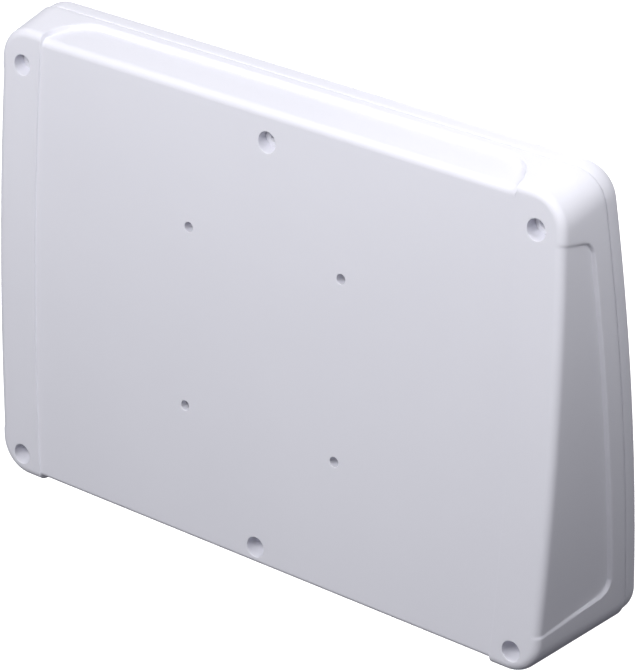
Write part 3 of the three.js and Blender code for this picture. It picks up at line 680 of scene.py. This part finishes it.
def shaped(stages, start, axis, segments=48):
    """Like turned, but each stage is (radius, distance, form, amount, period): round leaves the
    radius r; hexagon takes r cos 30 / cos(a mod 60 - 30); thread takes off amount * |2 t - 1|
    with t the fraction of distance / period - a / 360; flutes takes off amount * (1 + cos(period
    * a)) / 2."""
    usual = ("round", 0, 1)
    filled = [(*stage, *usual[len(stage) - 2:]) for stage in stages]
    radius, distance, amount, period = (
        np.array([stage[k] for stage in filled], float)[:, None] for k in (0, 1, 3, 4))
    form = np.array([stage[2] for stage in filled])[:, None]
    angle = np.arange(segments)[None] * 2 * np.pi / segments
    sixth = np.pi / 3
    hexagon = radius * math.cos(sixth / 2) / np.cos(angle % sixth - sixth / 2)
    thread = radius - amount * np.abs(2 * ((distance / period - angle / (2 * np.pi)) % 1) - 1)
    flutes = radius - amount * (1 + np.cos(period * angle)) / 2
    full = np.where(form == "hexagon", hexagon, np.where(form == "thread", thread, np.where(
        form == "flutes", flutes, radius + 0 * angle)))
    start, axis = np.array(start, float), np.array(axis, float) / np.linalg.norm(axis)
    across = np.cross(axis, [1, 0, 0] if abs(axis[0]) < 0.9 else [0, 0, 1])
    across /= np.linalg.norm(across)
    beside = np.cross(axis, across)
    circle = np.cos(angle)[..., None] * across + np.sin(angle)[..., None] * beside
    points = start + distance[..., None] * axis + full[..., None] * circle
    return points, grid_quads(len(stages), segments, closed=True)


def thread_run(radius, depth, pitch, near, far, per_turn=6):
    """Stages of a thread between two distances, fading in and out over half a turn."""
    at = np.arange(near, far, pitch / per_turn)
    fade = np.clip(np.minimum(at - near, far - at) / (pitch / 2), 0, 1)
    return [(radius, d, "thread", depth * f, pitch) for d, f in zip(at, fade)]


def socket_screw(start, axis, seat, head, height, shank, length, pitch, dome=0.35):
    """Closed skin of a screw: up from the bottom of its hexagon socket, over the head's round
    edge, under the head and down the thread to its tip."""
    top, socket, depth = seat - height, head * 0.47, height * 0.58
    edge = [(head - dome * (1 - math.sin(t)), top + dome * (1 - math.cos(t)))
            for t in np.linspace(0, np.pi / 2, 6)]
    stages = [(0, top + depth + 0.3), (socket * 0.8, top + depth, "hexagon"),
              (socket, top + depth - 0.05, "hexagon"), (socket, top + 0.15, "hexagon"),
              (socket + 0.12, top, "hexagon"), *edge, (head, seat - 0.15), (head - 0.15, seat),
              (shank + 0.2, seat), (shank, seat + 0.2),
              *thread_run(shank, 0.34 * shank / 1.95, pitch, seat + 0.6, seat + length - 1.4),
              (shank * 0.86, seat + length - 1.3), (shank * 0.55, seat + length - 0.15),
              (shank * 0.3, seat + length), (0, seat + length)]
    return shaped(stages, start, axis)


screw_coating = worked("screw_coating", (0.74, 0.74, 0.79), (0.68, 0.68, 0.73), 0.5, 0, 0.0008, 0.000008)
for place_name, (x, z) in screw_places.items():
    under = joint_run(z) - seat_before_joint - 0.3
    turned_screw = socket_screw((x, back_y, z), draw, under, head_radius, head_height, shank_radius,
                                screw_length + 0.3, 1.3)
    screw = surface("screw_" + place_name, [turned_screw], 35)
    screw.data.materials.append(screw_coating)
    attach(screw, "screw_" + place_name)
    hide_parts("housing_screw_" + place_name)


# ---------------------------------------------------------------- Mount inserts
# Four M4 brass bushes, turned, knurled outside in two bands and pressed into the bosses
# from the inside.
quarters = {"lower_left": (-1, -1), "upper_left": (-1, 1), "lower_right": (1, -1), "upper_right": (1, 1)}
insert_brass = worked("insert_brass", (0.70, 0.53, 0.25), (0.58, 0.42, 0.18), 0.34, 1, 0.0009, 0.00001)
for quarter, (a, b) in quarters.items():
    knurl = lambda d: (3.0, d, "flutes", 0.22, 28)
    stages = [(2.3, 6.3), (2.75, 6.3), (2.95, 6.5), knurl(6.7), knurl(8.6), (2.6, 8.9), (2.6, 9.9),
              knurl(10.2), knurl(12.0), (2.8, 12.2), (2.6, 12.3), (2.3, 12.3), (2.05, 12.1),
              *thread_run(2.0, -0.28, 0.7, 6.6, 12.0)[::-1], (2.05, 6.5), (2.3, 6.3)]
    bush = surface("insert_" + quarter, [shaped(stages, (37.5 * a, 0, 37.5 * b), (0, -1, 0), 112)], 35)
    bush.data.materials.append(insert_brass)
    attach(bush, "housing")
    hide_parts("mount_insert_" + quarter)


# ---------------------------------------------------------------- Reflector plate
# Punched aluminium sheet behind all the elements, brushed lengthwise and held by four screws.
def softened(name, node, width):
    """Copy of a CAD node with its loose triangles merged and its edges bevelled by width mm."""
    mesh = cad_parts[node].data.copy()
    mesh.name = name
    work = bmesh.new()
    work.from_mesh(mesh)
    bmesh.ops.remove_doubles(work, verts=work.verts, dist=1e-6)
    bmesh.ops.dissolve_limit(work, angle_limit=0.01, verts=work.verts, edges=work.edges)
    work.to_mesh(mesh)
    work.free()
    mesh.materials.clear()
    piece = bpy.data.objects.new(name, mesh)
    bpy.context.collection.objects.link(piece)
    bevel = piece.modifiers.new("edge", "BEVEL")
    bevel.width = width * 0.001
    bevel.segments = 2
    bevel.limit_method = "ANGLE"
    bevel.angle_limit = math.radians(40)
    return piece


plate_front = -14.5
plate = softened("reflector_sheet", "reflector_plate", 0.25)
brushed_sheet = worked("brushed_sheet", (0.68, 0.69, 0.71), (0.55, 0.56, 0.58), 0.36, 1, 0.0006,
                       0.00001, stretch=(0.03, 1, 1), vary=0.1)
plate.data.materials.append(brushed_sheet)
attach(plate, "housing")
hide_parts("reflector_plate")


# ---------------------------------------------------------------- Small screws
# Eight stainless machine screws with hexagon sockets: four hold the plate to the shell's
# bosses, and four hold the booms from behind the plate.
bay_places = {1: -72.0, 2: -24.0, 3: 24.0, 4: 72.0}
small_steel = worked("small_steel", (0.60, 0.60, 0.61), (0.47, 0.47, 0.485), 0.3, 1, 0.0007, 0.000006)
small_screws = {
    "plate_screw_" + quarter: ((96.0 * a, plate_front - 0.3, 50.0 * b), (0, 1, 0),
                               2.8, 2.0, 1.45, 8.0, 0.8)
    for quarter, (a, b) in quarters.items()
}
small_screws |= {
    f"boom_screw_{bay}": ((x, plate_front + 1.8, 0), (0, -1, 0), 2.6, 1.8, 1.25, 9.0, 0.7)
    for bay, x in bay_places.items()
}
for node, (start, axis, head, height, shank, length, pitch) in small_screws.items():
    screw = surface(node + "_turned", [socket_screw(
        start, axis, 0.0, head, height, shank, length, pitch, dome=height * 0.6)], 35)
    screw.data.materials.append(small_steel)
    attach(screw, "housing")
    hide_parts(node)


# ---------------------------------------------------------------- Feed board
# Green microwave laminate, routed to size, with the power divider etched in copper and
# tinned where the dipoles and the cable are soldered.
board = softened("divider_board", "feed_board", 0.12)
green_laminate = worked("green_laminate", (0.045, 0.20, 0.11), (0.025, 0.13, 0.07), 0.38, 0, 0.0011,
                        0.00001, stretch=(1, 1, 0.2))
board.data.materials.append(green_laminate)
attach(board, "housing")
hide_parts("feed_board")
board_front = plate_front - 1.3
track_half = 0.8


def etched(strips):
    """Strips of copper 0.05 mm thick on the board: each is a rectangle from (x0, z0) to
    (x1, z1), drawn as a ring on the board, a ring set in a little in front, and a middle."""
    patches = []
    for x0, z0, x1, z1 in strips:
        low, high = np.array([x0, z0]), np.array([x1, z1])
        corners = lambda d: np.array([[low[0] + d, low[1] + d], [high[0] - d, low[1] + d],
                                      [high[0] - d, high[1] - d], [low[0] + d, high[1] - d]])
        middle = np.tile((low + high) / 2, (4, 1))
        rings = [(middle, 0.0), (corners(0), 0.0), (corners(0), 0.03), (corners(0.02), 0.05),
                 (middle, 0.05)]
        points = np.array([
            np.stack([xz[:, 0], np.full(4, board_front - y), xz[:, 1]], -1) for xz, y in rings])
        patches.append((points, grid_quads(5, 4, closed=True)))
    return patches


feet = [x + 4.3 for x in bay_places.values()]
strips = [(x - track_half, -8.8, x + track_half, -1.0) for x in feet]
strips += [(a - track_half, -9.6, b + track_half, -8.0) for a, b in (feet[:2], feet[2:])]
strips += [(sum(pair) / 2 - 1.1, -12.4, sum(pair) / 2 + 1.1, -9.0) for pair in (feet[:2], feet[2:])]
strips += [(sum(feet[:2]) / 2 - 1.1, -13.2, sum(feet[2:]) / 2 + 1.1, -11.8)]
tracks = surface("divider_tracks", etched(strips), 30)
tracks.data.materials.append(worked(
    "etched_copper", (0.72, 0.40, 0.25), (0.60, 0.30, 0.18), 0.34, 1, 0.0015, 0.000004))
pads = [(x - 1.5, 0.4, x + 1.5, 3.0) for x in feet] + [(-2.0, -15.2, 2.0, -13.0)]
pads += [(-7.5, -16.6, -3.5, -14.0), (3.5, -16.6, 7.5, -14.0)]
tinned = surface("tinned_pads", etched(pads), 30)
tinned.data.materials.append(worked(
    "tinned_pads", (0.66, 0.66, 0.65), (0.52, 0.52, 0.52), 0.36, 1, 0.0008, 0.00001))
for piece in (tracks, tinned):
    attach(piece, "housing")


# ---------------------------------------------------------------- Booms
# Four natural acetal posts, moulded with a foot that stands on the board; each carries one bay.
boom_acetal = moulded_plastic("boom_acetal", (0.80, 0.78, 0.72), (0.76, 0.74, 0.68), 0.4, 1400)
for bay in bay_places:
    post = softened(f"boom_post_{bay}", f"boom_{bay}", 0.3)
    post.data.materials.append(boom_acetal)
    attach(post, "housing")
    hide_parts(f"boom_{bay}")


# ---------------------------------------------------------------- Driven elements
# Four folded dipoles, each one bent brass wire soldered into the board at both ends.
driven_y, driven_half, loop_half, wire_radius = -25.4, 12.8, 4.3, 0.8


def swept(route, radius, sides=16):
    """Wire of round section along a route: each ring is point + radius (cos a * u + sin a * v),
    where u is the last ring's u made square to the route again. Both ends are domed."""
    route = np.asarray(route, float)
    along = np.gradient(route, axis=0)
    along /= np.linalg.norm(along, axis=1)[:, None]
    across = [np.cross(along[0], [0.9, 0.3, 0.31])]
    for direction in along:
        turned_on = across[-1] - direction * (across[-1] @ direction)
        across.append(turned_on / np.linalg.norm(turned_on))
    u = np.array(across[1:])
    v = np.cross(along, u)
    turn = np.linspace(0, np.pi / 2, 5)
    bulge = 0.4 * radius * np.sin(turn)
    centres = np.concatenate([route[0] - np.outer(bulge[::-1], along[0]), route[1:-1],
                              route[-1] + np.outer(bulge, along[-1])])
    size = np.concatenate([np.cos(turn)[::-1], np.ones(len(route) - 2), np.cos(turn)]) * radius
    pick = np.concatenate([np.zeros(5, int), np.arange(1, len(route) - 1), np.full(5, len(route) - 1)])
    angle = np.arange(sides) * 2 * np.pi / sides
    circle = (np.cos(angle)[None, :, None] * u[pick][:, None]
              + np.sin(angle)[None, :, None] * v[pick][:, None])
    return centres[:, None] + size[:, None, None] * circle, grid_quads(len(centres), sides, closed=True)


def dipole_route(x):
    """Foot, small bend, straight, half circle of radius 4.3, straight and back the same way,
    as arcs centre + r (cos a, sin a) in the planes of Y, Z and of X, Z."""
    foot, bend, reach, feed = board_front - 0.3, 1.4, driven_half - loop_half, x + loop_half
    turn = np.linspace(0, np.pi / 2, 9)
    loop = np.linspace(0, np.pi, 25)
    line = lambda a, b, n: np.linspace(a, b, n, endpoint=False)[1:]
    rise = np.stack([np.full(9, feed), driven_y + bend - bend * np.sin(turn),
                     1.6 + bend * (1 - np.cos(turn))], -1)
    top = np.stack([x + loop_half * np.cos(loop), np.full(25, driven_y),
                    reach + loop_half * np.sin(loop)], -1)
    half = np.concatenate([np.linspace((feed, foot, 1.6), rise[0], 6, endpoint=False), rise,
                           line(rise[-1], top[0], 6), top])
    other = half[::-1] * [1, 1, -1]
    return np.concatenate([half, line(half[-1], other[0], 12), other])


element_brass = worked("element_brass", (0.74, 0.56, 0.27), (0.60, 0.44, 0.20), 0.3, 1, 0.0012,
                       0.000006, stretch=(1, 1, 0.15))
for bay, x in bay_places.items():
    dipole = surface(f"dipole_{bay}", [swept(dipole_route(x), wire_radius)], 50)
    dipole.data.materials.append(element_brass)
    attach(dipole, "housing")
    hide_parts(f"driven_element_{bay}")


# ---------------------------------------------------------------- Directors
# Eight aluminium rods, drawn, cut to length and chamfered, pushed through the booms.
rod_aluminium = worked("rod_aluminium", (0.70, 0.71, 0.73), (0.58, 0.59, 0.61), 0.33, 1, 0.0008,
                       0.000006, stretch=(1, 1, 0.06), vary=0.08)
for bay, x in bay_places.items():
    for rank, y, length in (("inner", -32.6, 23.0), ("outer", -39.8, 22.0)):
        end = length / 2
        profile = [(0, -end), (0.7, -end), (0.85, -end + 0.05), (1.0, -end + 0.3), (1.0, end - 0.3),
                   (0.85, end - 0.05), (0.7, end), (0, end)]
        rod = surface(f"{rank}_rod_{bay}", [turned(profile, (x, y, 0), (0, 0, 1), 28)], 35)
        rod.data.materials.append(rod_aluminium)
        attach(rod, "housing")
        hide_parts(f"{rank}_director_{bay}")


# ---------------------------------------------------------------- Antenna port
# Bulkhead socket in the bottom wall: nickel-plated brass, turned and threaded, with a rubber
# ring inside the wall and a hexagon nut outside it.
port_top = (62.0, -38.0, -88.4)
port_mouth = -22.6
stages = [(0, 12), (3.0, 12), (3.2, 11.8), (3.2, 6), (9.8, 6), (10, 5.8), (10, 2.4), (9.8, 2.2),
          (7.9, 2.2), (7.9, -6), *thread_run(7.9, 0.5, 1.06, port_mouth + 0.6, -6.2)[::-1],
          (7.7, port_mouth + 0.3),
          (7.4, port_mouth), (5.9, port_mouth), (5.6, port_mouth + 0.3), (5.6, port_mouth + 9),
          (4.2, port_mouth + 9), (4.2, port_mouth + 7), (3.9, port_mouth + 6.8), (1.9, port_mouth + 6.8),
          (1.6, port_mouth + 7), (1.6, port_mouth + 5.4), (1.4, port_mouth + 5.2), (0.7, port_mouth + 5.2),
          (0.6, port_mouth + 5.4), (0.6, port_mouth + 8), (0, port_mouth + 8)]
socket = surface("port_socket_turned", [shaped(stages, port_top, (0, 0, 1), 64)], 35)
nickel = worked("port_nickel", (0.66, 0.65, 0.61), (0.55, 0.54, 0.50), 0.26, 1, 0.0012, 0.000006)
socket.data.materials.append(nickel)
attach(socket, "housing")
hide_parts("port_socket")


def gasket_profile(inner, outer, thick):
    """Flat ring 0.3 mm off its seat, each corner cut by 0.2 mm, back to its first point."""
    near, far, cut = 0.3, thick, 0.2
    return [(inner + cut, near), (outer - cut, near), (outer, near + cut), (outer, far - cut),
            (outer - cut, far), (inner + cut, far), (inner, far - cut), (inner, near + cut),
            (inner + cut, near)]


gasket = surface("port_gasket", [turned(gasket_profile(8.3, 9.8, 1.9), port_top, (0, 0, 1), 64)], 50)
gasket.data.materials.append(seal_rubber)
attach(gasket, "housing")
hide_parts("port_seal")


def hexagon_nut(name, start, axis, across_corners, bore, near, far):
    """Closed skin of a nut: bore, chamfer, hexagon with its corners turned off, and back."""
    h = across_corners
    stages = [(bore, near + 0.4), (bore + 0.4, near), (h * 0.86, near), (h, near + 0.5, "hexagon"),
              (h, far - 0.5, "hexagon"), (h * 0.86, far), (bore + 0.4, far), (bore, far - 0.4),
              (bore, near + 0.4)]
    return surface(name, [shaped(stages, start, axis, 72)], 30)


nut = hexagon_nut("port_nut_turned", (62, -38, -94.4), (0, 0, -1), 11.4, 8.2, 0.3, 4.0)
nut.data.materials.append(nickel)
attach(nut, "housing")
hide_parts("port_nut")


# ---------------------------------------------------------------- Feed cable
# Thin coaxial cable with a brown fluoropolymer jacket, soldered to the board's input pad and
# to the back of the socket.
cable_stops = np.array([
    (0, board_front - 1.9, -13), (0, board_front - 3.4, -18), (2, board_front - 3.8, -30),
    (10, board_front - 4, -45), (24, board_front - 6, -57), (40, board_front - 11, -63),
    (53, -32.5, -64), (60, -36.5, -67.5), (62, -38, -72), (62, -38, -76.0),
])


def smooth_route(stops, per_span=9):
    """Centripetal Catmull-Rom curve through the stops: knots grow by the square root of each
    span, and every point blends linearly three times over, as in the Barry-Goldman pyramid."""
    p = np.concatenate([[2 * stops[0] - stops[1]], stops, [2 * stops[-1] - stops[-2]]])
    knots = np.append(0, np.cumsum(np.sqrt(np.linalg.norm(np.diff(p, axis=0), axis=1))))
    route = []
    for i in range(1, len(p) - 2):
        t = np.linspace(knots[i], knots[i + 1], per_span, endpoint=False)[:, None]
        mix = lambda a, b, s, e: ((e - t) * a + (t - s) * b) / (e - s)
        k = knots[i - 1:i + 3]
        a1, a2, a3 = (mix(p[i - 1 + n], p[i + n], k[n], k[n + 1]) for n in range(3))
        b1, b2 = mix(a1, a2, k[0], k[2]), mix(a2, a3, k[1], k[3])
        route.append(mix(b1, b2, k[1], k[2]))
    return np.concatenate(route + [stops[-1:]])


cable = surface("feed_coax", [swept(smooth_route(cable_stops), 1.4, 24)], 50)
cable.data.materials.append(worked(
    "cable_jacket", (0.33, 0.15, 0.07), (0.25, 0.11, 0.05), 0.36, 0, 0.002, 0.00001))
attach(cable, "housing")
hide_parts("feed_cable")


# ---------------------------------------------------------------- Breather
# Vented plug in the bottom wall that lets the housing breathe: moulded with a fluted cap,
# with a rubber ring outside the wall and a nut inside it.
vent_top = (-62.0, -38.0, -88.4)
flute = lambda r, d: (r, d, "flutes", 0.35, 24)
stages = [(0, -9), (1.9, -9), (2, -8.9), (2, 7.9), (2, 8), (5.8, 8), (6, 7.8), (6, -7.9), (8.2, -7.9),
          flute(8.6, -8.2), flute(8.6, -11.4), flute(8.3, -12.0), (7.4, -12.4), (5.6, -12.4),
          (5.4, -12.2), (4.2, -12.2), (4.0, -12.4), (0, -12.4)]
plug = surface("vent_plug_moulded", [shaped(stages, vent_top, (0, 0, 1), 96)], 35)
vent_plastic = moulded_plastic("vent_plastic", (0.72, 0.72, 0.75), (0.69, 0.69, 0.72), 0.45, 1800)
plug.data.materials.append(vent_plastic)
vent_ring = surface("vent_gasket", [turned(
    gasket_profile(6.4, 8.3, 1.6), (-62, -38, -94.4), (0, 0, -1), 64)], 50)
vent_ring.data.materials.append(seal_rubber)
vent_nut = hexagon_nut("vent_nut_moulded", vent_top, (0, 0, 1), 9.4, 6.3, 0.3, 4.3)
vent_nut.data.materials.append(vent_plastic)
for piece, node, slot_name in (
    (plug, "vent_plug", "vent_plastic"),
    (vent_ring, "vent_seal", "seal_rubber"),
    (vent_nut, "vent_nut", "vent_plastic"),
):
    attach(piece, "housing")
    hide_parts(node)
